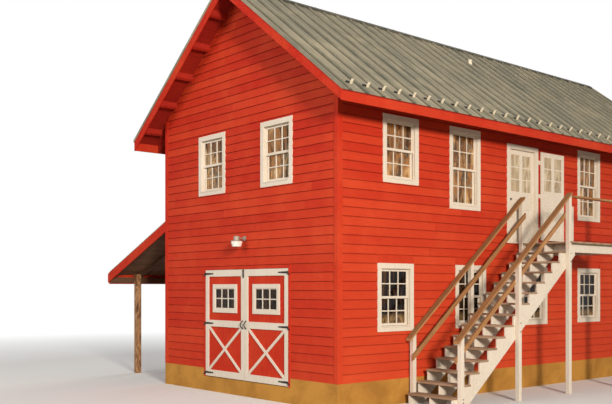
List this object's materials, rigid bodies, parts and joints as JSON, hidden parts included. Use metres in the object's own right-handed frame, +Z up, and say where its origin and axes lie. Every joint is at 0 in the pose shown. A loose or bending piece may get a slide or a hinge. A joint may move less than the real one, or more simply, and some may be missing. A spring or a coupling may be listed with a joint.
{
  "type": "gable barn",
  "caption": "Red clapboard gable barn, two storeys, with hinged double barn doors, an outside stair to an upper door and an open lean-to",
  "frame": {"origin": "on the lowest ground, under the middle of the barn's front wall plane", "axes": "+X to the right along the front, +Y back along the ridge, +Z up"},
  "size_m": [9.9035, 13.46, 8.2977],
  "materials": {
    "foundation_stone": "matte",
    "concrete": "matte",
    "floor_wood": "satin",
    "frame_wood": "matte",
    "red_boards": "matte",
    "white_boards": "satin",
    "window_glass": "gloss",
    "roof_metal": "satin",
    "black_iron": "satin",
    "lamp_white": "satin",
    "upper_door_white": "satin",
    "storm_door_white": "satin",
    "door_red": "matte",
    "door_white": "satin",
    "bare_wood": "matte",
    "rail_wood": "matte",
    "post_wood": "matte"
  },
  "bodies": {
    "barn": {"foundation": "foundation_stone", "floor_slab": "concrete", "upper_floor_boards": "floor_wood", "upper_floor_joists": "frame_wood", "front_wall_left": "red_boards", "front_wall_right": "red_boards", "front_gable_wall": "red_boards", "right_wall": "red_boards", "left_wall": "red_boards", "rear_wall": "red_boards", "corner_boards": "red_boards", "casings": "white_boards", "window_sashes": "white_boards", "window_glass": "window_glass", "rafters": "frame_wood", "ridge_board": "frame_wood", "roof_boards": "red_boards", "roof_metal": "roof_metal", "ridge_cap": "roof_metal", "rake_boards": "red_boards", "eave_boards": "red_boards", "lookouts": "red_boards", "doorway_frame": "red_boards", "door_pintles": "black_iron", "barn_lamp": "lamp_white", "upper_door": "upper_door_white", "storm_door": "storm_door_white", "stair_stringers": "white_boards", "stair_and_landing_boards": "bare_wood", "newel_posts": "white_boards", "stair_rails": "rail_wood", "landing_frame": "white_boards", "lean_to_posts": "post_wood", "lean_to_beams": "frame_wood", "lean_to_rafters": "frame_wood", "lean_to_roof": "roof_metal", "lean_to_trim": "red_boards"},
    "left_door": {"left_door_panel": "door_red", "left_door_frame": "door_white", "left_door_glass": "window_glass", "left_door_ironwork": "black_iron"},
    "right_door": {"right_door_panel": "door_red", "right_door_frame": "door_white", "right_door_glass": "window_glass", "right_door_ironwork": "black_iron"}
  },
  "joints": [
    {"name": "left_door_hinge", "type": "hinge", "parent": "barn", "child": "left_door", "pos_m": [-1.264, -0.038, 1.443], "axis": [0, 0, -1], "range_deg": [0, 170]},
    {"name": "right_door_hinge", "type": "hinge", "parent": "barn", "child": "right_door", "pos_m": [1.524, -0.038, 1.443], "axis": [0, 0, 1], "range_deg": [0, 170]}
  ]
}
